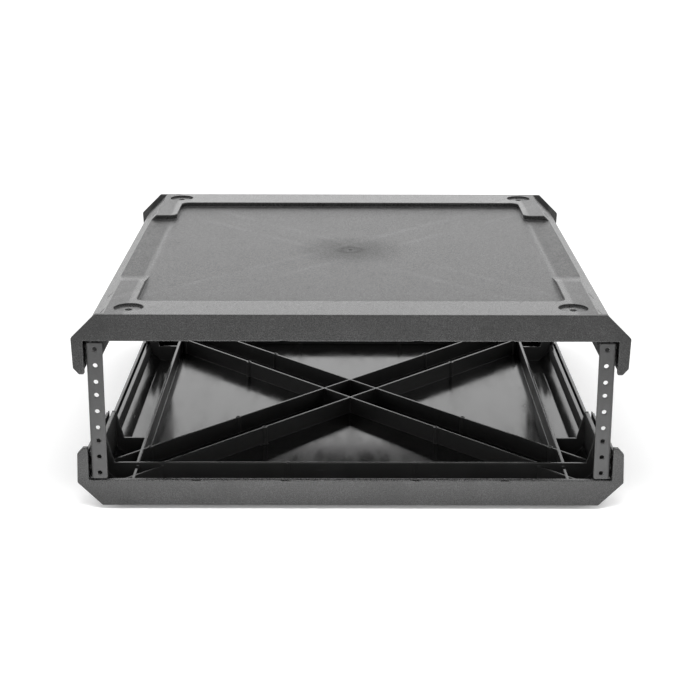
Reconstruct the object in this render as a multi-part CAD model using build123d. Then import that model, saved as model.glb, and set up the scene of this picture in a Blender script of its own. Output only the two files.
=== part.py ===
from build123d import *
import os

# Three-unit 19-inch rack frame: two identical moulded trays, the upper one turned over, joined by four
# steel rails. Millimetres. X is to the right, Y to the rear, Z up. The origin is the centre of the
# footprint, on the surface that the feet stand on.

# Rack standard
UNIT = 44.45                      # one rack unit
UNITS = 3
HOLE_COLUMN = 465.1 / 2           # from the middle to a column of holes
HOLE_STEPS = (6.35, 22.225, 38.1)   # hole heights within one unit

# Overall
DEPTH = 500.0
FOOT_STAND = 4.0                  # the feet hold the lower tray this far off the surface
TRAY_PAIR = 186.15                # from the lower tray's underside to the upper tray's top
FRONT = -DEPTH / 2

# Rims: the flanges round the front and the rear of a tray
RIM_THICK = 5.0
RIM_FLAT = 231.4                  # half of the flat part of the outer edge
RIM_HALF = 254.0
RIM_SLOPE_TOP = 22.6              # height where the sloping corner ends
EAR_SHOULDER = (253.0, 51.3)
EAR_TIP = (247.6, 57.3)
EAR_IN = 243.0
LIP = 25.25                       # height of the front and rear lips, and of the ribs
CORNER_R = 2.4
EDGE_R = 0.9
BACK_EDGE_R = 0.6
CUT_TOP = 70.0                    # cuts that are open upward end here, clear of the towers

# Body between the rims
BODY_FLAT = 223.5
BODY_HALF = 245.5
BODY_SLOPE_TOP = BODY_HALF - BODY_FLAT
BODY_END = RIM_THICK - 2.0        # the body runs this far inside the rim's plate
BODY_CORNER_R = 2.0
SIDE_TOP = 29.2                   # top of the side walls between the towers
FLOOR_LOW = 3.05                  # inner floor over the pads and the end channels
FLOOR_HIGH = 8.05                 # inner floor over the recess
INNER_SLOPE = 216.4               # inner sloping face: x = INNER_SLOPE + z
INNER_KNEE = (234.7, 18.3)        # where the inner slope meets the side wall
INNER_TOP = 236.4                 # inner edge of the side wall's top

# Corner towers, measured from the tray's front or rear
TOWER_DEPTH = 106.0
TOWER_TOP = 53.2
TOWER_INNER = 233.0
TOWER_SLOT = (236.6, 239.5)       # slot between the tower's two walls
TOWER_OUTER = 241.7               # behind the end rib, the outer wall is set back to here
SIDE_SLOT = (239.9, 242.7)        # groove along the side wall's top
SLOT_FLOOR = 22.0
CHANNEL_WALL = 243.0              # inner face of the wall beside a rail
GUSSET_FOOT = 225.7
TOWER_EDGE_R = 1.0
TOWER_END_R = 4.0

# Ribs
END_RIB = 43.0                    # from the tray's front or rear to the middle of the end rib
RIB_THICK = 2.0
END_RIB_THICK = 2.5
SIDE_RIB = 203.6
SIDE_RIB_THICK = 3.0
DIAGONAL_OFFSET = 19.9            # each diagonal is a pair of ribs this far from its own middle line
DIAGONAL_TO_WALL = 311.0
DIAGONAL_TO_CHANNEL = 321.0
CHANNEL_RIB_TOP = 22.3
NOTCH = (35.0, 41.0)              # gap in the side rib, in front of the end rib
NOTCH_FLOOR = 14.0
RIB_FOOT = 1.5                    # ribs start inside the floor

# Ejector marks: round pads with a sunk middle on the ribs, and round notches in the lips
PAD_R = 2.6
PAD_RISE = 0.3
PAD_SINK_R = 1.5
PAD_SINK_DEEP = 0.9
PADS_ON_DIAGONALS = ((116.0, 87.0), (87.0, 116.0), (196.5, 168.0))
PADS_ON_END_RIBS = (60.5,)
NOTCHES_IN_LIPS = (61.0, 143.5)
LIP_NOTCH_R = 4.3
LIP_NOTCH_DEEP = 0.9
LIP_NOTCH_IN = 0.3                # its middle is this far behind the lip's front face

# Recess in the outer face
RECESS_DEEP = 5.05
RECESS_HALF = 200.0
RECESS_FRONT = 44.5
RECESS_REAR = 452.8
BAY_RAMP = (112.0, 147.0)         # the front pads slope down to the recess between these depths
BAY_REAR = 387.0
BAY_FOLD = 205.0                  # outside this fold the recess falls away slightly
BAY_FALL = 1.6                    # by the edge of the rim
RECESS_R = 9.0
RECESS_EDGE_R = 0.8

# Gate mark: where the plastic entered the mould, in the middle of the outer face
GATE_R = 2.2
GATE_DEEP = 0.8
GATE_STUB_R = 0.9
GATE_STUB_HIGH = 0.5

# Slits across the sloping corners
SLIT_DEPTHS = (28.5, 83.5, 416.5)
SLIT_LOW = 226.8
SLIT_LONG = 8.0
SLIT_WIDE = 3.0
SLIT_DEEP = 1.8

# Feet and their sockets
SOCKET_X = 203.5
SOCKET_DEPTHS = (22.5, 477.0)
SOCKET_R = 13.7
SOCKET_DEEP = 2.0
SOCKET_WALL = 2.5
BOSS_R = 6.5
BOSS_TOP = 12.0
BOSS_HOLE_R = 2.6
BOSS_HOLE_TOP = 8.2
BOSS_MOUTH_R = 3.2                # lead-in for the screw
BOSS_MOUTH_TOP = 3.0
BOSS_TIP_R = 2.4                  # narrower blind end
BOSS_TIP_TOP = 11.0
FOOT_R = 12.5
FOOT_TAPER_R = 11.3
FOOT_EDGE_R = 1.2
FOOT_BORE_R = 5.6                 # counterbore that holds the screw's head
FOOT_WEB = 2.0                    # rubber above the counterbore
FOOT_SCREW_LONG = 9.0
FOOT_SCREW_GAP = 0.1

# Rails
RAIL_IN = 225.6
RAIL_OUT = 240.3
RAIL_THICK = 2.5
RAIL_FLANGE = 18.0
RAIL_LONG = 131.8
RAIL_BEND_R = 2.6
RAIL_END_R = 1.8
RACK_HOLE_R = 2.5                 # tapped M6
RAIL_SCREW_DEPTH = 13.6
RAIL_SCREW_Z = (33.7, 46.7)       # heights of the two screws at each end, from the tray's outer face
RAIL_BOSS_R = 4.2

# Fasteners
M5_R = 2.5
M5_TAPPED_R = 2.52
M5_CLEAR_R = 2.75
M5_WASHER_R = 5.0
M5_WASHER_THICK = 1.0
M5_HEAD_R = 4.75
M5_HEAD_HIGH = 2.8
M5_HEX = 3.0
M5_HEX_DEEP = 1.6
M5_HEAD_ROUND = 0.8               # share of the head's height that is rounded
M5_PAST_RAIL = 1.2                # the screw's end shows this far past the rail's flange

SIDES = (-1, 1)


def block(x0, x1, y0, y1, z0, z1):
    """A box between two opposite corners."""
    middle = Pos((x0 + x1) / 2, (y0 + y1) / 2, (z0 + z1) / 2)
    return middle * Box(abs(x1 - x0), abs(y1 - y0), abs(z1 - z0))


def mirrored(half):
    """A closed outline from the points of its right half."""
    return half + [(-x, z) for x, z in reversed(half)]


def prism(outline, y0, y1):
    """An outline in X and Z, as a solid from y0 back to y1."""
    return Pos(0, y1, 0) * extrude(Plane.XZ * Polygon(*outline, align=None), y1 - y0, dir=(0, -1, 0))


def upright(radius, x, y, z0, z1):
    """A vertical cylinder."""
    return Pos(x, y, (z0 + z1) / 2) * Cylinder(radius, z1 - z0)


def both_ends(solid):
    """A solid at the front and its mirror image at the rear."""
    return solid + mirror(solid, Plane.XZ)


def rim():
    """The front flange: lip, sloping corners and two ears."""
    half = [
        (RIM_FLAT, 0),
        (RIM_HALF, RIM_SLOPE_TOP),
        EAR_SHOULDER,
        EAR_TIP,
        (EAR_IN, EAR_TIP[1]),
        (EAR_IN, LIP),
    ]
    face = Polygon(*mirrored(half), align=None)
    big = [v for v in face.vertices() if v.Y < EAR_SHOULDER[1] + 1 and abs(v.X) != EAR_IN]
    face = fillet(big, CORNER_R)
    small = [v for v in face.vertices() if v.Y > EAR_TIP[1] - 0.1]
    face = fillet(small, CORNER_R / 2)
    plate = Pos(0, FRONT + RIM_THICK, 0) * extrude(Plane.XZ * face, RIM_THICK)
    plate = fillet(plate.faces().sort_by(Axis.Y)[0].edges(), EDGE_R)
    return fillet(plate.faces().sort_by(Axis.Y)[-1].edges(), BACK_EDGE_R)


def body():
    """The solid body behind the rims, with its four corner towers."""
    end = FRONT + BODY_END
    half = [(BODY_FLAT, 0), (BODY_HALF, BODY_SLOPE_TOP), (BODY_HALF, SIDE_TOP)]
    section = Polygon(*mirrored(half), align=None)
    corners = [v for v in section.vertices() if v.Y < BODY_SLOPE_TOP + 0.1]
    section = fillet(corners, BODY_CORNER_R)
    solid = Pos(0, -end, 0) * extrude(Plane.XZ * section, -2 * end)
    for side in SIDES:
        inner, outer = side * TOWER_INNER, side * BODY_HALF
        tower = block(inner, outer, end, FRONT + TOWER_DEPTH, SIDE_TOP - 2, TOWER_TOP)
        top = tower.edges().filter_by(Axis.Y).sort_by(Axis.Z)[-2:]
        tower = fillet(top.sort_by(Axis.X)[(side + 1) // 2], TOWER_EDGE_R)
        corner = tower.edges().filter_by(Axis.X).sort_by(Axis.Z)[-2:].sort_by(Axis.Y)[-1]
        solid += both_ends(fillet(corner, TOWER_END_R))
    return solid


def cavity(low, x0, half_top, y0, y1):
    """The hollow from x0 outward on both sides, above a floor, up to the side walls."""
    hollow = None
    for side in SIDES:
        points = [(x0, low), (INNER_SLOPE + low, low)] + half_top
        points += [(half_top[-1][0], CUT_TOP), (x0, CUT_TOP)]
        piece = prism([(side * x, z) for x, z in points], y0, y1)
        hollow = piece if hollow is None else hollow + piece
    return hollow


def hollows():
    """Everything hollowed out of the body from above."""
    channel_top = [(CHANNEL_WALL, CHANNEL_WALL - INNER_SLOPE)]
    tower_top = [(TOWER_INNER, TOWER_INNER - INNER_SLOPE)]
    side_top = [INNER_KNEE, (INNER_TOP, SIDE_TOP)]
    rib_front = FRONT + END_RIB - END_RIB_THICK / 2
    tower_end = FRONT + TOWER_DEPTH
    channel = cavity(FLOOR_LOW, 0, channel_top, FRONT + RIM_THICK, rib_front)
    corner = cavity(FLOOR_LOW, SIDE_RIB, tower_top, rib_front, tower_end + END_RIB_THICK / 2)
    middle = cavity(FLOOR_HIGH, SIDE_RIB - 1, side_top, tower_end, -tower_end)
    centre = block(-SIDE_RIB, SIDE_RIB, rib_front, -rib_front, FLOOR_HIGH, CUT_TOP)
    mouth = block(-CHANNEL_WALL, CHANNEL_WALL, FRONT - 1, FRONT + RIM_THICK, LIP, CUT_TOP)
    return both_ends(channel) + both_ends(corner) + both_ends(mouth) + middle + centre


def end_ribs():
    """The full-width rib behind each lip, rising to a gusset against each tower."""
    y = FRONT + END_RIB
    half = [
        (BODY_FLAT - 2, RIB_FOOT),
        (BODY_HALF - 5, BODY_SLOPE_TOP - 1.5),
        (CHANNEL_WALL, SIDE_TOP),
        (CHANNEL_WALL, TOWER_TOP),
        (TOWER_INNER, TOWER_TOP),
        (GUSSET_FOOT, LIP),
    ]
    return both_ends(prism(mirrored(half), y - END_RIB_THICK / 2, y + END_RIB_THICK / 2))


def cross_ribs():
    """Short ribs with gussets at the inner end of each tower."""
    y = FRONT + TOWER_DEPTH
    ribs = None
    for side in SIDES:
        outline = [
            (SIDE_RIB, RIB_FOOT),
            (BODY_FLAT - 2, RIB_FOOT),
            (BODY_HALF - 5, BODY_SLOPE_TOP - 1.5),
            (BODY_HALF - 5, TOWER_TOP),
            (TOWER_INNER, TOWER_TOP),
            (GUSSET_FOOT, LIP),
            (SIDE_RIB, LIP),
        ]
        rib = prism([(side * x, z) for x, z in outline], y - END_RIB_THICK / 2, y + END_RIB_THICK / 2)
        ribs = both_ends(rib) if ribs is None else ribs + both_ends(rib)
    return ribs


def side_ribs():
    """Long ribs from lip to lip, notched in front of each end rib."""
    end = FRONT + BODY_END
    ribs = None
    for side in SIDES:
        x0 = side * SIDE_RIB - SIDE_RIB_THICK / 2
        rib = block(x0, x0 + SIDE_RIB_THICK, end, -end, RIB_FOOT, LIP)
        notch = block(x0, x0 + SIDE_RIB_THICK, FRONT + NOTCH[0], FRONT + NOTCH[1], NOTCH_FLOOR, LIP)
        rib -= both_ends(notch)
        ribs = rib if ribs is None else ribs + rib
    return ribs


def diagonal_ribs():
    """Two pairs of ribs that cross in the middle, each from a side wall to the far end channel."""
    ribs = None
    for turn in (45, -45):
        for side in SIDES:
            if turn * side > 0:
                start, stop = -DIAGONAL_TO_WALL, DIAGONAL_TO_CHANNEL
            else:
                start, stop = -DIAGONAL_TO_CHANNEL, DIAGONAL_TO_WALL
            y0 = side * DIAGONAL_OFFSET - RIB_THICK / 2
            rib = Rot(0, 0, turn) * block(start, stop, y0, y0 + RIB_THICK, RIB_FOOT, LIP)
            ribs = rib if ribs is None else ribs + rib
    inside = [(BODY_FLAT - 2, RIB_FOOT), (BODY_HALF - 5, BODY_SLOPE_TOP - 1.5), (BODY_HALF - 5, LIP)]
    return ribs & prism(mirrored(inside), FRONT, -FRONT)


def channel_relief():
    """Lowers the ribs that run on into the end channels."""
    y1 = FRONT + END_RIB - END_RIB_THICK / 2
    return both_ends(block(-BODY_FLAT, BODY_FLAT, FRONT + RIM_THICK, y1, CHANNEL_RIB_TOP, LIP + 2))


def ejector_marks():
    """Pads to add on the ribs, the sinks in their middles, and the notches in the lips."""
    pads = []
    cuts = []
    top = LIP + PAD_RISE
    places = [*PADS_ON_DIAGONALS, *((x, -FRONT - END_RIB) for x in PADS_ON_END_RIBS)]
    for side in SIDES:
        for end in SIDES:
            for x, y in places:
                pads.append(upright(PAD_R, side * x, end * y, FLOOR_HIGH - 1, top))
                cuts.append(upright(PAD_SINK_R, side * x, end * y, top - PAD_SINK_DEEP, top + 1))
            for x in NOTCHES_IN_LIPS:
                y = end * (FRONT + LIP_NOTCH_IN)
                cuts.append(upright(LIP_NOTCH_R, side * x, y, LIP - LIP_NOTCH_DEEP, LIP + 1))
    return pads, cuts


def recess():
    """The shallow recess in a tray's outer face, open to the sides between the corner pads."""
    length = RECESS_REAR - RECESS_FRONT
    bay = BAY_REAR - BAY_RAMP[1]
    plan = Pos(0, FRONT + RECESS_FRONT + length / 2) * Rectangle(2 * RECESS_HALF, length)
    plan += Pos(0, FRONT + BAY_RAMP[1] + bay / 2) * Rectangle(2 * RIM_HALF, bay)
    corners = [v for v in plan.vertices() if abs(v.X) < RECESS_HALF + 1]
    corners = [v for v in corners if abs(v.Y - FRONT - BAY_RAMP[1]) > 1]
    plan = fillet(corners, RECESS_R)
    cut = Pos(0, 0, -1) * extrude(plan, RECESS_DEEP + 1)
    ramp = [
        (FRONT + BAY_RAMP[0], 0),
        (FRONT + BAY_RAMP[1], RECESS_DEEP),
        (FRONT + BAY_RAMP[1], -1),
        (FRONT + BAY_RAMP[0], -1),
    ]
    wedge = extrude(Plane.YZ * Polygon(*ramp, align=None), RIM_HALF - RECESS_HALF, dir=(1, 0, 0))
    fall = [
        (BAY_FOLD, RECESS_DEEP - 1),
        (BAY_FOLD, RECESS_DEEP),
        (RIM_HALF, RECESS_DEEP + BAY_FALL),
        (RIM_HALF, RECESS_DEEP - 1),
    ]
    for side in SIDES:
        x0 = RECESS_HALF if side > 0 else -RIM_HALF
        cut += Pos(x0, 0, 0) * wedge
        cut += prism([(side * x, z) for x, z in fall], FRONT + BAY_RAMP[1], FRONT + BAY_REAR)
    return cut


def slots():
    """The groove along the side walls, the slots in the towers, and the step outside them."""
    tower_front = FRONT + END_RIB + END_RIB_THICK / 2
    tower_end = FRONT + TOWER_DEPTH + END_RIB_THICK / 2
    cuts = []
    for side in SIDES:
        inner, outer = (side * x for x in TOWER_SLOT)
        cuts.append(both_ends(block(inner, outer, tower_front, tower_end, SLOT_FLOOR, CUT_TOP)))
        inner, outer = side * TOWER_OUTER, side * (BODY_HALF + 1)
        cuts.append(both_ends(block(inner, outer, tower_front, tower_end, SIDE_TOP, CUT_TOP)))
        inner, outer = (side * x for x in SIDE_SLOT)
        cuts.append(block(inner, outer, tower_end - 1, 1 - tower_end, SLOT_FLOOR, CUT_TOP))
    return cuts


def corner_slits():
    """Narrow slits across the sloping corners, near the pads."""
    cuts = []
    for side in SIDES:
        for depth in SLIT_DEPTHS:
            middle = SLIT_LOW + SLIT_LONG / 2 ** 1.5
            slit = Box(SLIT_LONG, SLIT_WIDE, 2 * SLIT_DEEP)
            place = Pos(side * middle, FRONT + depth, middle - BODY_FLAT) * Rot(0, -side * 45, 0)
            cuts.append(place * slit)
    return cuts


def gate():
    """The dimple left by the gate, with the broken stub inside it."""
    top = RECESS_DEEP + GATE_DEEP
    dimple = upright(GATE_R, 0, 0, RECESS_DEEP - 1, top)
    return dimple - upright(GATE_STUB_R, 0, 0, top - GATE_STUB_HIGH, top)


def sockets():
    """Bosses to add and sockets to cut for the four feet."""
    bosses = []
    cuts = []
    for side in SIDES:
        for depth in SOCKET_DEPTHS:
            x = side * SOCKET_X
            y = FRONT + depth
            bosses.append(upright(SOCKET_R + SOCKET_WALL, x, y, RIB_FOOT, FLOOR_LOW + SOCKET_DEEP))
            bosses.append(upright(BOSS_R, x, y, RIB_FOOT, BOSS_TOP))
            cuts.append(upright(SOCKET_R, x, y, -1, SOCKET_DEEP))
            cuts.append(upright(BOSS_MOUTH_R, x, y, 0, BOSS_MOUTH_TOP))
            cuts.append(upright(BOSS_HOLE_R, x, y, 0, BOSS_HOLE_TOP))
            cuts.append(upright(BOSS_TIP_R, x, y, 0, BOSS_TIP_TOP))
    return bosses, cuts


def rail_bosses():
    """Bosses to add beside the rails, and the holes through them."""
    bosses = []
    holes = []
    for side in SIDES:
        for end in SIDES:
            for z in RAIL_SCREW_Z:
                place = Pos(0, end * (FRONT + RAIL_SCREW_DEPTH), z)
                boss = place * Rot(0, 90, 0) * Cylinder(RAIL_BOSS_R, CHANNEL_WALL + 0.5 - RAIL_OUT)
                hole = place * Rot(0, 90, 0) * Cylinder(M5_CLEAR_R, 20)
                bosses.append(Pos(side * (RAIL_OUT + CHANNEL_WALL + 0.5) / 2, 0, 0) * boss)
                holes.append(Pos(side * (RAIL_OUT + 5), 0, 0) * hole)
    return bosses, holes


def ease_recess(solid):
    """Rounds the edge of the recess, where the rims and the pads step down to it."""
    ramp_top = FRONT + BAY_RAMP[0]
    edges = []
    for edge in solid.edges().filter_by_position(Axis.Z, -0.001, 0.001):
        middle = edge.center()
        inside = abs(middle.X) < BODY_FLAT - 2 and abs(middle.Y) < DEPTH / 2 - RIM_THICK
        if inside and abs(middle.Y - ramp_top) > 0.1:
            edges.append(edge)
    return fillet(edges, RECESS_EDGE_R)


def tray():
    """One tray, floor down, underside at Z = 0."""
    foot_bosses, foot_cuts = sockets()
    screw_bosses, screw_holes = rail_bosses()
    pads, marks = ejector_marks()
    solid = body() - hollows()
    solid += end_ribs() + cross_ribs() + side_ribs() + diagonal_ribs()
    solid -= channel_relief()
    solid += both_ends(rim())
    solid += pads + foot_bosses + screw_bosses
    solid = ease_recess(solid - recess())
    solid -= slots() + corner_slits() + marks + foot_cuts + screw_holes + [gate()]
    return solid


def rail():
    """The front right rail, standing on Z = 0, with its face at the front."""
    outline = [
        (RAIL_IN, FRONT),
        (RAIL_OUT, FRONT),
        (RAIL_OUT, FRONT + RAIL_FLANGE),
        (RAIL_OUT - RAIL_THICK, FRONT + RAIL_FLANGE),
        (RAIL_OUT - RAIL_THICK, FRONT + RAIL_THICK),
        (RAIL_IN, FRONT + RAIL_THICK),
    ]
    section = Polygon(*outline, align=None)
    outer = [v for v in section.vertices() if v.X > RAIL_OUT - 0.1 and v.Y < FRONT + 0.1]
    section = fillet(outer, RAIL_BEND_R)
    solid = extrude(section, RAIL_LONG)
    corners = [e for e in solid.edges().filter_by(Axis.Y) if e.center().X < RAIL_IN + 0.1]
    solid = fillet(corners, RAIL_END_R)
    flange = [e for e in solid.edges().filter_by(Axis.X) if e.center().Y > FRONT + RAIL_FLANGE - 0.1]
    solid = fillet(flange, RAIL_END_R)
    first = (RAIL_LONG - UNITS * UNIT) / 2
    for unit in range(UNITS):
        for step in HOLE_STEPS:
            z = first + unit * UNIT + step
            solid -= Pos(HOLE_COLUMN, FRONT + RAIL_THICK / 2, z) * Rot(90, 0, 0) * Cylinder(RACK_HOLE_R, 8)
    rail_foot = (TRAY_PAIR - RAIL_LONG) / 2
    for z in rail_screw_heights():
        place = Pos(RAIL_OUT, FRONT + RAIL_SCREW_DEPTH, z - rail_foot)
        solid -= place * Rot(0, 90, 0) * Cylinder(M5_TAPPED_R, 12)
    return solid


def rail_screw_heights():
    """Heights of a rail's four fixing screws above the lower tray's outer face."""
    return [*RAIL_SCREW_Z, *(TRAY_PAIR - z for z in RAIL_SCREW_Z)]


def button_screw(length):
    """An M5 button-head screw: head at +Z, its bearing face at Z = 0."""
    head = Pos(0, 0, M5_HEAD_HIGH / 2) * Cylinder(M5_HEAD_R, M5_HEAD_HIGH)
    head = fillet(head.edges().sort_by(Axis.Z)[-1], M5_HEAD_HIGH * M5_HEAD_ROUND)
    key = extrude(RegularPolygon(M5_HEX / 2, 6, major_radius=False), M5_HEAD_HIGH)
    socket = Pos(0, 0, M5_HEAD_HIGH - M5_HEX_DEEP) * key
    shank = upright(M5_R, 0, 0, -length, 0)
    return head - socket + shank


def washer():
    """A plain M5 washer standing on Z = 0."""
    return upright(M5_WASHER_R, 0, 0, 0, M5_WASHER_THICK) - upright(M5_CLEAR_R, 0, 0, -1, 2)


def foot():
    """A round rubber foot, its underside at Z = 0, with a counterbore for its screw."""
    high = FOOT_STAND + SOCKET_DEEP
    solid = Cone(FOOT_TAPER_R, FOOT_R, high, align=(Align.CENTER, Align.CENTER, Align.MIN))
    solid = fillet(solid.edges().sort_by(Axis.Z)[0], FOOT_EDGE_R)
    solid -= upright(FOOT_BORE_R, 0, 0, -1, high - FOOT_WEB)
    return solid - upright(M5_R + FOOT_SCREW_GAP, 0, 0, -1, high + 1)


def foot_places():
    """Where the four feet stand, by name."""
    names = ("left", "right")
    ends = ("front", "rear")
    return {
        f"{end}_{name}": (side * SOCKET_X, FRONT + depth)
        for side, name in zip(SIDES, names)
        for depth, end in zip(SOCKET_DEPTHS, ends)
    }


def rail_fasteners(side, end):
    """The screws and washers that hold one rail, as two groups. The rail's flange is tapped for them."""
    screws = []
    washers = []
    outward = Rot(0, 90 * side, 0)
    seat = BODY_HALF + M5_WASHER_THICK
    length = seat - (RAIL_OUT - RAIL_THICK) + M5_PAST_RAIL
    for z in rail_screw_heights():
        at = Pos(0, end * (FRONT + RAIL_SCREW_DEPTH), FOOT_STAND + z)
        screws.append(at * Pos(side * seat, 0, 0) * outward * button_screw(length))
        washers.append(at * Pos(side * BODY_HALF, 0, 0) * outward * washer())
    return screws, washers


def save(node, solids):
    """Write one node: a solid, or a group of separate solids."""
    shape = Compound(children=solids) if isinstance(solids, list) else solids
    export_step(shape, f"parts/{node}.step")


def main():
    os.makedirs("parts", exist_ok=True)

    moulding = tray()
    save("bottom_tray", Pos(0, 0, FOOT_STAND) * moulding)
    save("top_tray", Pos(0, 0, FOOT_STAND + TRAY_PAIR) * Rot(0, 180, 0) * moulding)

    right = Pos(0, 0, FOOT_STAND + (TRAY_PAIR - RAIL_LONG) / 2) * rail()
    for side, name in zip(SIDES, ("left", "right")):
        for end, place in ((1, "front"), (-1, "rear")):
            piece = right if side > 0 else mirror(right, Plane.YZ)
            piece = piece if end > 0 else mirror(piece, Plane.XZ)
            label = f"{place}_{name}_rail"
            save(label, piece)
            screws, washers = rail_fasteners(side, end)
            save(f"{label}_screws", screws)
            save(f"{label}_washers", washers)

    seat = FOOT_STAND + SOCKET_DEEP - FOOT_WEB
    foot_screws = []
    foot_washers = []
    for name, (x, y) in foot_places().items():
        save(f"{name}_foot", Pos(x, y, 0) * foot())
        under = Pos(x, y, seat) * Rot(180, 0, 0)
        foot_washers.append(under * washer())
        foot_screws.append(under * Pos(0, 0, M5_WASHER_THICK) * button_screw(FOOT_SCREW_LONG))
    save("foot_screws", foot_screws)
    save("foot_washers", foot_washers)


main()
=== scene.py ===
import math
from types import SimpleNamespace

import bpy
from mathutils import Matrix, Vector


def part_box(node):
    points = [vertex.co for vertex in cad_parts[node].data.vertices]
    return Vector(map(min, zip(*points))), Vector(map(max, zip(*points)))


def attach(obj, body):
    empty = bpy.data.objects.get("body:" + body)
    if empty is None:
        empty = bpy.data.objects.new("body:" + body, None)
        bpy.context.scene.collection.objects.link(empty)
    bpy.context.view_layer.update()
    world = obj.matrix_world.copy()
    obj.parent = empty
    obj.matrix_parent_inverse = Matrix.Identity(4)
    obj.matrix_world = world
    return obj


# The looks of a 19-inch rack frame: two black moulded trays and four powder-coated rails, on a white
# studio floor. Metres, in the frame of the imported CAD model. Patterns are worked out in millimetres.

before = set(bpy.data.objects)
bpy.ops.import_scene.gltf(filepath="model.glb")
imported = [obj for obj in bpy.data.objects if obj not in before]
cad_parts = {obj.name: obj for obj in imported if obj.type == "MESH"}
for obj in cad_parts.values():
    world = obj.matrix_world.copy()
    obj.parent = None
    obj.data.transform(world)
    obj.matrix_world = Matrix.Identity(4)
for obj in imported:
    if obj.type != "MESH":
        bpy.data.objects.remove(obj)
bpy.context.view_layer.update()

MM = 0.001

# Camera: in front of the object and above it, with a shifted lens as in a product photograph
CAMERA_AT = (-0.004265, -1.52566, 0.58570)
CAMERA_PITCH = 0.27202            # down from level, in radians
CAMERA_YAW = -0.00249
CAMERA_ROLL = 0.002567
SENSOR = 36.0
LENS = 76.27
SHIFT_Y = -0.1106

# Places on a tray, in millimetres from its middle and up from its outer face
RIB_OFFSET = 28.1                 # the paired ribs follow |x - y| and |x + y| at this distance
SIDE_RIB = 203.6                  # the long ribs along the sides; the side bays and the pads lie beyond them
INSIDE_X = 243.1                  # just past the inner faces of the walls beside the rails
INSIDE_Y = 245.1                  # just past the inner faces of the front and rear rims
FLOOR_LOW = 3.0                   # just under the inner floor beside the recess
RECESS_DEEP = 5.0
TOWER_TOP = 53.2
GATE_DISC_R = 7.5                 # a lighter disc round the moulding gate, with a darker ring round it
GATE_RING_R = 17.0
GATE_HALO_R = 70.0

# Rails
HOLE_COLUMN = 232.55 * MM
RAIL_THICK = 2.5 * MM
UNIT = 44.45 * MM
UNITS = 3
HOLE_STEPS = (6.35 * MM, 22.225 * MM, 38.1 * MM)

# The thread in a rail's hole, and its profile: how far in, by its depth, and how far along, by its pitch
THREAD_R = 2.5 * MM
THREAD_DEEP = 0.3 * MM
THREAD_PITCH = 1.0 * MM
THREAD_SHORT = 0.3 * MM           # it is this much shorter than its hole
THREAD_PROFILE = ((0.0, -0.42), (1.0, -0.10), (1.0, 0.10), (0.0, 0.42))
THREAD_SIDES = 20                 # straight sides in one turn

# Studio
STUDIO_HALF = 12.0
STUDIO_LEVEL = -0.1 * MM          # just under the feet, so that the two don't share a plane


# ---------------------------------------------------------------- materials

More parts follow.
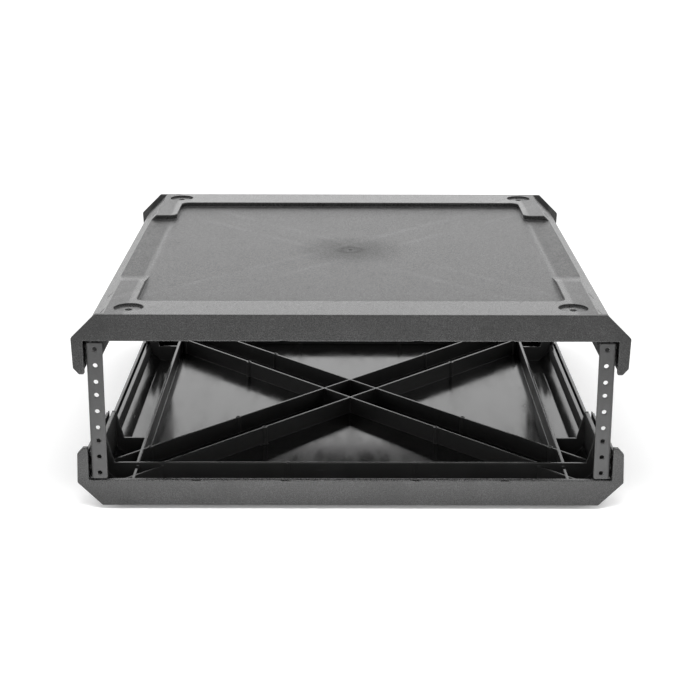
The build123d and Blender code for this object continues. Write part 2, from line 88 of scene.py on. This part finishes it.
class Look:
    """A material's node tree around one Principled shader, built call by call."""

    def __init__(self, name):
        self.material = bpy.data.materials.new(name)
        self.material.use_nodes = True
        self.tree = self.material.node_tree
        self.tree.nodes.clear()
        output = self.add("ShaderNodeOutputMaterial")
        self.shader = self.add("ShaderNodeBsdfPrincipled")
        self.tree.links.new(self.shader.outputs[0], output.inputs["Surface"])
        self.place = self.add("ShaderNodeTexCoord").outputs["Object"]

    def add(self, kind, **settings):
        node = self.tree.nodes.new(kind)
        for key, value in settings.items():
            setattr(node, key, value)
        return node

    def feed(self, socket, value):
        """Links another node's output to a socket, or sets a plain value on it."""
        if isinstance(value, bpy.types.NodeSocket):
            self.tree.links.new(value, socket)
        else:
            socket.default_value = value

    def set(self, name, value):
        self.feed(self.shader.inputs[name], value)

    def math(self, operation, a, b=0.0):
        node = self.add("ShaderNodeMath", operation=operation)
        self.feed(node.inputs[0], a)
        self.feed(node.inputs[1], b)
        return node.outputs[0]

    def absolute(self, value):
        return self.math("ABSOLUTE", value)

    def larger(self, a, b):
        return self.math("MAXIMUM", a, b)

    def smaller(self, a, b):
        return self.math("MINIMUM", a, b)

    def sum(self, *values):
        total = values[0]
        for value in values[1:]:
            total = self.math("ADD", total, value)
        return total

    def times(self, *values):
        total = values[0]
        for value in values[1:]:
            total = self.math("MULTIPLY", total, value)
        return total

    def vector(self, operation, a, b):
        node = self.add("ShaderNodeVectorMath", operation=operation)
        self.feed(node.inputs[0], a)
        self.feed(node.inputs[1], b)
        return node.outputs["Value" if operation == "DOT_PRODUCT" else "Vector"]

    def split(self, vector):
        node = self.add("ShaderNodeSeparateXYZ")
        self.feed(node.inputs[0], vector)
        return list(node.outputs)

    def remap(self, value, low, high, to_low=0.0, to_high=1.0):
        """A smooth change from to_low to to_high as value goes from low to high."""
        node = self.add("ShaderNodeMapRange", interpolation_type="SMOOTHSTEP")
        for socket, number in zip(node.inputs, (value, low, high, to_low, to_high)):
            self.feed(socket, number)
        return node.outputs["Result"]

    def noise(self, scale, detail=2.0, roughness=0.5, stretch=None, seed=0.0):
        """Noise with features of about 1 / scale millimetres, from 0 to 1."""
        place = self.place if stretch is None else self.vector("MULTIPLY", self.place, stretch)
        node = self.add("ShaderNodeTexNoise", noise_dimensions="4D")
        self.feed(node.inputs["Vector"], place)
        self.feed(node.inputs["W"], seed)
        self.feed(node.inputs["Scale"], scale / MM)
        self.feed(node.inputs["Detail"], detail)
        self.feed(node.inputs["Roughness"], roughness)
        return node.outputs[0]

    def specks(self, spacing, size, share, seed):
        """Small round spots, at most one in each cell of the given spacing, in a share of the cells."""
        node = self.add("ShaderNodeTexVoronoi", voronoi_dimensions="4D")
        self.feed(node.inputs["Vector"], self.place)
        self.feed(node.inputs["W"], seed)
        self.feed(node.inputs["Scale"], 1 / (spacing * MM))
        spot = self.remap(node.outputs["Distance"], size / spacing, 0.5 * size / spacing)
        chance = self.split(node.outputs["Color"])[0]
        return self.times(spot, self.math("LESS_THAN", chance, share))

    def colour(self, dark, light, factor):
        node = self.add("ShaderNodeMix", data_type="RGBA")
        ends = [socket for socket in node.inputs if socket.type == "RGBA"]
        self.feed(node.inputs["Factor"], factor)
        self.feed(ends[0], dark)
        self.feed(ends[1], light)
        return next(socket for socket in node.outputs if socket.type == "RGBA")

    def edges(self, radius):
        """The normal of slightly rounded edges, and a mask of where they are."""
        bevel = self.add("ShaderNodeBevel", samples=6)
        self.feed(bevel.inputs["Radius"], radius * MM)
        flat = self.add("ShaderNodeNewGeometry").outputs["Normal"]
        facing = self.vector("DOT_PRODUCT", bevel.outputs["Normal"], flat)
        return bevel.outputs["Normal"], self.remap(facing, 0.995, 0.8)

    def bump(self, height, normal):
        """A height in millimetres over the given normal."""
        node = self.add("ShaderNodeBump")
        self.feed(node.inputs["Strength"], 1.0)
        self.feed(node.inputs["Distance"], MM)
        self.feed(node.inputs["Height"], height)
        self.feed(node.inputs["Normal"], normal)
        self.set("Normal", node.outputs["Normal"])


def grey(value, warmth=0.0):
    return (value * (1 + warmth), value, value * (1 - warmth), 1.0)


def inside_of_tray(look, wide, deep, z, up):
    """A mask of the space between the walls and the rims, above the floor and under the towers' tops."""
    low_floor = look.times(look.remap(z, FLOOR_LOW - 0.4, FLOOR_LOW), look.remap(up, 0.4, 0.6))
    return look.times(
        look.remap(wide, INSIDE_X + 0.2, INSIDE_X - 0.2),
        look.remap(deep, INSIDE_Y + 0.2, INSIDE_Y - 0.2),
        look.remap(z, TOWER_TOP - 0.7, TOWER_TOP - 1.2),
        look.larger(look.remap(z, RECESS_DEEP + 0.2, RECESS_DEEP + 0.8), low_floor),
        look.remap(up, -0.6, -0.4),
    )


def sink_marks(look, x, y):
    """Broad, patchy marks on the outer face, over the double X of ribs behind it."""
    falling = look.sum(look.absolute(look.sum(x, y)), -RIB_OFFSET)
    rising = look.sum(look.absolute(look.math("SUBTRACT", x, y)), -RIB_OFFSET)
    nearest = look.smaller(look.absolute(falling), look.absolute(rising))
    patchy = look.remap(look.noise(0.012, 2.0, seed=5.0), 0.38, 0.62, 0.1, 1.0)
    return look.times(look.remap(nearest, 12.0, 0.0), patchy)


def tray_places(look, outer_face, way_up):
    """Masks, from 0 to 1, of the parts of a tray that look different."""
    turned = look.vector("MULTIPLY", look.place, (way_up / MM, 1 / MM, way_up / MM))
    x, y, z = look.split(look.vector("SUBTRACT", turned, (0.0, 0.0, way_up * outer_face / MM)))
    facing = look.split(look.add("ShaderNodeNewGeometry").outputs["True Normal"])[2]
    up = look.times(facing, float(way_up))
    wide, deep = look.absolute(x), look.absolute(y)
    from_gate = look.math("SQRT", look.sum(look.times(x, x), look.times(y, y)))

    inside = inside_of_tray(look, wide, deep, z, up)
    outside = look.math("SUBTRACT", 1.0, inside)
    underside = look.remap(up, -0.7, -0.9)
    sides = look.times(underside, look.remap(wide, SIDE_RIB + 0.4, SIDE_RIB + 4.4))
    fold = look.remap(look.absolute(look.sum(wide, -SIDE_RIB)), 5.0, 0.0)
    ring = look.times(look.remap(from_gate, GATE_DISC_R - 1.0, GATE_DISC_R + 1.5),
                      look.remap(from_gate, GATE_RING_R, GATE_RING_R - 5.0))
    return SimpleNamespace(
        inside=inside,
        outside=outside,
        upright=look.remap(look.absolute(up), 0.5, 0.3),
        slope=look.times(look.remap(up, -0.85, -0.8), look.remap(up, -0.5, -0.6), outside),
        underside=underside,
        recess=look.times(underside, look.remap(z, 0.3 * RECESS_DEEP, 0.8 * RECESS_DEEP)),
        sides=sides,
        pads=look.times(sides, look.remap(z, 0.5 * RECESS_DEEP, 0.2 * RECESS_DEEP)),
        sink=look.times(underside, sink_marks(look, x, y)),
        fold=look.times(underside, fold),
        halo=look.times(underside, look.remap(from_gate, GATE_HALO_R, GATE_DISC_R + 0.5)),
        ring=look.times(underside, ring),
    )


def tray_texture(look, at, edge):
    """The grain of the plastic at several sizes, and the wear and dirt on it, with a painted highlight along
    the outer edges and a painted sheen on the sloping outer faces.
    """
    worn = look.remap(look.noise(0.6, 4.0, 0.7, seed=7.0), 0.42, 0.66)
    scuffed = look.remap(look.noise(0.05, 5.0, 0.75, seed=8.0), 0.56, 0.74)
    streaky = look.remap(look.noise(0.16, 4.0, 0.75, stretch=(1.0, 0.3, 1.0), seed=14.0), 0.4, 0.75)
    lines = look.remap(look.noise(0.9, 2.0, 0.5, stretch=(0.03, 0.05, 1.0), seed=9.0), 0.66, 0.76)
    scratched = look.remap(look.noise(0.02, 2.0, 0.5, seed=10.0), 0.48, 0.58)
    return SimpleNamespace(
        cloud=look.noise(0.03, 4.0, 0.6, seed=1.0),
        mottle=look.noise(0.28, 3.0, 0.65, seed=2.0),
        grain=look.noise(0.8, 2.0, 0.75, seed=3.0),
        pebble=look.times(look.sum(look.noise(0.5, 1.0, 0.8, seed=4.0), -0.5), at.underside),
        # Lighter along the outer edges: partly wear, partly a painted highlight on the rounded edges.
        wear_and_edge_highlight=look.times(edge, worn, at.outside),
        scuffs=look.times(scuffed, at.outside),
        # Lighter streaks on the sloping outer faces: partly moulding streaks, partly a painted sheen where
        # these faces catch the light.
        streaks=look.times(streaky, at.slope),
        scratches=look.times(lines, scratched, look.math("SUBTRACT", 1.0, at.underside)),
        dust=look.larger(look.specks(23.0, 1.1, 0.22, 11.0), look.specks(9.0, 0.6, 0.05, 12.0)),
    )


def tray_colour(look, at, on):
    shade = look.sum(look.times(on.cloud, 0.3), look.times(on.mottle, 0.15), look.times(on.grain, 0.55))
    shell = look.colour(grey(0.002), grey(0.023), look.remap(shade, 0.36, 0.64))
    # Darker between the ribs inside the tray: partly the smoother inner finish, partly painted shade in the
    # enclosed space.
    body = look.colour(shell, look.colour(grey(0.0015), grey(0.004), on.cloud), at.inside)
    marks = look.sum(
        look.times(look.remap(on.pebble, -0.05, 0.2), 0.16),
        look.times(on.scuffs, 0.05),
        look.times(on.wear_and_edge_highlight, 0.4),
        look.times(on.scratches, 0.10),
        look.times(on.streaks, 0.22),
        look.times(on.dust, 0.9),
    )
    return look.colour(body, grey(0.30, 0.01), look.smaller(marks, 1.0))


def tray_roughness(look, at, on):
    fine = look.sum(look.times(on.mottle, 0.25), look.times(on.grain, 0.75))
    outside = look.sum(
        look.remap(fine, 0.36, 0.64, 0.14, 0.39),
        look.times(on.scuffs, 0.08),
        look.times(on.pebble, 0.22),
        look.times(at.recess, 0.15),
        look.times(at.sides, 0.06),
        look.times(at.pads, 0.07),
        look.times(at.slope, 0.07),
        look.times(at.sink, -0.03),
        look.times(at.recess, at.fold, -0.06),
        look.times(at.halo, 0.12),
        look.times(at.ring, 0.08),
    )
    flow = look.noise(0.05, 4.0, 0.6, stretch=(1.0, 0.25, 1.0), seed=13.0)
    inside = look.sum(look.remap(flow, 0.3, 0.75, 0.10, 0.22), look.times(at.upright, 0.35))
    return look.sum(look.times(outside, at.outside), look.times(inside, at.inside),
                    look.times(look.larger(on.scratches, on.dust), 0.25))


def tray_relief(look, at, on):
    """Heights in millimetres."""
    return look.sum(
        look.times(look.sum(on.grain, -0.5), at.outside, 0.10),
        look.times(look.sum(on.mottle, -0.5), at.outside, 0.03),
        look.times(on.pebble, 0.07),
        look.times(look.sum(at.sink, at.fold), -0.09),
        look.times(on.scratches, -0.02),
        look.times(on.dust, 0.02),
    )


def tray_plastic(name, outer_face, way_up):
    """Black moulded plastic: grained outside, smooth and glossy between the ribs.

    way_up is 1 for a tray that lies with its outer face down, and -1 for one turned over."""
    look = Look(name)
    bevelled, edge = look.edges(1.2)
    at = tray_places(look, outer_face, way_up)
    on = tray_texture(look, at, edge)
    look.set("Base Color", tray_colour(look, at, on))
    look.set("Roughness", tray_roughness(look, at, on))
    look.set("IOR", 1.5)
    look.bump(tray_relief(look, at, on), bevelled)
    return look.material


def powder_coat(name):
    """Satin dark grey powder coat with a fine orange peel."""
    look = Look(name)
    peel = look.noise(0.9, 2.0, 0.55, seed=21.0)
    cloud = look.noise(0.04, 3.0, 0.6, seed=22.0)
    bevelled, edge = look.edges(0.3)
    chips = look.times(edge, look.remap(look.noise(0.35, 4.0, 0.7, seed=23.0), 0.55, 0.75))
    rub = look.remap(look.noise(0.3, 4.0, 0.7, stretch=(1.0, 1.0, 0.12), seed=24.0), 0.58, 0.8)
    dust = look.specks(15.0, 0.6, 0.2, 25.0)
    coat = look.colour(grey(0.026), grey(0.042), cloud)
    marks = look.sum(look.times(chips, 0.5), look.times(rub, 0.06), look.times(dust, 0.8))
    look.set("Base Color", look.colour(coat, grey(0.36, 0.01), look.smaller(marks, 1.0)))
    look.set("Roughness", look.sum(look.remap(peel, 0.3, 0.7, 0.36, 0.46), look.times(rub, 0.08)))
    look.set("IOR", 1.5)
    look.bump(look.sum(look.times(peel, 0.03), look.times(chips, -0.05), look.times(dust, 0.05)), bevelled)
    return look.material


def metal(name, dark, light, rough, seed):
    """Bare or plated steel: clouded, lightly scratched, worn bright on its edges."""
    look = Look(name)
    cloud = look.noise(0.35, 4.0, 0.65, seed=seed)
    fine = look.noise(3.0, 2.0, 0.6, stretch=(1.0, 0.2, 1.0), seed=seed + 1)
    bevelled, edge = look.edges(0.12)
    tint = look.colour(grey(dark), grey(light, 0.015), look.remap(cloud, 0.3, 0.7))
    worn = look.times(edge, look.remap(fine, 0.4, 0.7), 0.7)
    look.set("Base Color", look.colour(tint, grey(0.55, 0.01), worn))
    look.set("Metallic", 1.0)
    look.set("Roughness", look.remap(fine, 0.3, 0.7, rough - 0.06, rough + 0.08))
    look.bump(look.times(fine, 0.01), bevelled)
    return look.material


def rubber(name):
    """Matte black rubber with a little dust in its grain."""
    look = Look(name)
    grain = look.noise(1.6, 3.0, 0.7, seed=41.0)
    cloud = look.noise(0.12, 4.0, 0.6, seed=42.0)
    bevelled, edge = look.edges(0.3)
    dusty = look.larger(look.remap(cloud, 0.5, 0.8, 0.0, 0.4), look.times(edge, 0.3))
    look.set("Base Color", look.colour(grey(0.016), grey(0.07, 0.04), dusty))
    look.set("Roughness", look.remap(grain, 0.3, 0.7, 0.68, 0.85))
    look.set("Specular IOR Level", 0.35)
    look.bump(look.times(grain, 0.06), bevelled)
    return look.material


def studio_white(name):
    """Matte white that glows a little, so that the object's shadow on it stays faint."""
    look = Look(name)
    tone = look.noise(0.002, 3.0, 0.5, seed=51.0)
    look.set("Base Color", look.colour(grey(0.90), grey(0.93), tone))
    look.set("Roughness", 0.9)
    look.set("Specular IOR Level", 0.1)
    look.set("Emission Color", grey(1.0))
    look.set("Emission Strength", 0.15)
    return look.material


# ---------------------------------------------------------------- pieces

def paint(node, material):
    """Puts one material on every slot of a CAD node."""
    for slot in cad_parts[node].material_slots:
        slot.link = "OBJECT"
        slot.material = material


def new_piece(name, points, faces, material):
    mesh = bpy.data.meshes.new(name)
    mesh.from_pydata(points, [], faces)
    mesh.materials.append(material)
    piece = bpy.data.objects.new(name, mesh)
    bpy.context.scene.collection.objects.link(piece)
    return piece


def hole_thread(centre, length):
    """Points and faces of a helical thread inside one hole, along Y, cut off square at both faces."""
    points = []
    steps = round(length / THREAD_PITCH * THREAD_SIDES)
    for step in range(steps + 1):
        angle = 2 * math.pi * step / THREAD_SIDES
        along = length * (step / steps - 0.5)
        for inward, shift in THREAD_PROFILE:
            radius = THREAD_R - THREAD_DEEP * inward
            y = along + shift * THREAD_PITCH
            y = min(max(y, -length / 2), length / 2)
            points.append((centre[0] + radius * math.cos(angle), centre[1] + y,
                           centre[2] + radius * math.sin(angle)))
    count = len(THREAD_PROFILE)
    faces = []
    for step in range(steps):
        for i in range(count):
            a = step * count + i
            b = step * count + (i + 1) % count
            faces.append((a, b, b + count, a + count))
    faces.append(tuple(range(count - 1, -1, -1)))
    faces.append(tuple(range(steps * count, (steps + 1) * count)))
    return points, faces


def rail_threads(rail, material):
    """The threads in all nine holes of one rail, as one piece."""
    low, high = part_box(rail)
    x = HOLE_COLUMN if "right" in rail else -HOLE_COLUMN
    y = low.y + RAIL_THICK / 2 if "front" in rail else high.y - RAIL_THICK / 2
    first = (low.z + high.z) / 2 - UNITS * UNIT / 2
    points, faces = [], []
    for unit in range(UNITS):
        for step in HOLE_STEPS:
            centre = (x, y, first + unit * UNIT + step)
            thread, thread_faces = hole_thread(centre, RAIL_THICK - THREAD_SHORT)
            faces += [tuple(i + len(points) for i in face) for face in thread_faces]
            points += thread
    piece = new_piece(rail + "_threads", points, faces, material)
    piece.data.shade_smooth()
    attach(piece, "root")


# ---------------------------------------------------------------- studio

def studio_floor():
    """A plain white floor, large enough to reach the horizon."""
    signs = ((-1, -1), (1, -1), (1, 1), (-1, 1))
    corners = [(x * STUDIO_HALF, y * STUDIO_HALF, STUDIO_LEVEL) for x, y in signs]
    floor = new_piece("floor", corners, [(0, 1, 2, 3)], studio_white("studio_floor"))


def soft_light(name, at, towards, size, power, spread=180, hidden=False):
    """A rectangular area light that points from at to towards. A hidden one isn't seen by the camera."""
    data = bpy.data.lights.new(name, "AREA")
    data.shape = "RECTANGLE"
    data.size, data.size_y = size
    data.energy = power
    data.spread = math.radians(spread)
    light = bpy.data.objects.new(name, data)
    light.visible_camera = not hidden
    direction = Vector(towards) - Vector(at)
    light.matrix_world = Matrix.Translation(at) @ direction.to_track_quat("-Z", "Y").to_matrix().to_4x4()
    bpy.context.scene.collection.objects.link(light)


def white_surround(strength):
    world = bpy.data.worlds.new("studio")
    world.use_nodes = True
    background = world.node_tree.nodes["Background"]
    background.inputs["Color"].default_value = grey(1.0)
    background.inputs["Strength"].default_value = strength
    bpy.context.scene.world = world


def camera():
    data = bpy.data.cameras.new("camera")
    data.sensor_width = SENSOR
    data.lens = LENS
    data.shift_y = SHIFT_Y
    forward = Vector((
        -math.sin(CAMERA_YAW) * math.cos(CAMERA_PITCH),
        math.cos(CAMERA_YAW) * math.cos(CAMERA_PITCH),
        -math.sin(CAMERA_PITCH),
    ))
    level = Vector((math.cos(CAMERA_YAW), math.sin(CAMERA_YAW), 0.0))
    upright = level.cross(forward)
    right = math.cos(CAMERA_ROLL) * level + math.sin(CAMERA_ROLL) * upright
    up = math.cos(CAMERA_ROLL) * upright - math.sin(CAMERA_ROLL) * level
    turn = Matrix((right, up, -forward)).transposed().to_4x4()
    eye = bpy.data.objects.new("camera", data)
    eye.matrix_world = Matrix.Translation(CAMERA_AT) @ turn
    bpy.context.scene.collection.objects.link(eye)
    bpy.context.scene.camera = eye


# ---------------------------------------------------------------- scene

camera()
white_surround(1.08)
studio_floor()
soft_light("overhead", (0.0, 0.5, 1.9), (0.0, 0.0, 0.1), (2.4, 1.6), 10.0)
soft_light("backdrop", (0.0, 2.4, 1.0), (0.0, 0.0, 0.2), (2.2, 1.5), 7.6)
soft_light("low_front", (0.0, -0.40, 0.30), (0.0, -0.40, 0.0), (0.56, 0.12), 1.3, spread=70, hidden=True)
bpy.context.scene.view_settings.view_transform = "Standard"

bottom_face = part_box("bottom_tray")[0].z
top_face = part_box("top_tray")[1].z
paint("bottom_tray", tray_plastic("tray_plastic_lower", bottom_face, 1))
paint("top_tray", tray_plastic("tray_plastic_upper", top_face, -1))

rail_finish = powder_coat("rail_powder_coat")
black_screw = metal("screw_black_oxide", 0.035, 0.07, 0.36, 31.0)
zinc = metal("zinc_plate", 0.42, 0.6, 0.3, 33.0)
tapped = metal("tapped_steel", 0.10, 0.2, 0.4, 35.0)
foot_rubber = rubber("foot_rubber")
for end in ("front", "rear"):
    for side in ("left", "right"):
        rail = f"{end}_{side}_rail"
        paint(rail, rail_finish)
        paint(rail + "_screws", black_screw)
        paint(rail + "_washers", zinc)
        rail_threads(rail, tapped)
        paint(f"{end}_{side}_foot", foot_rubber)
paint("foot_screws", black_screw)
paint("foot_washers", zinc)
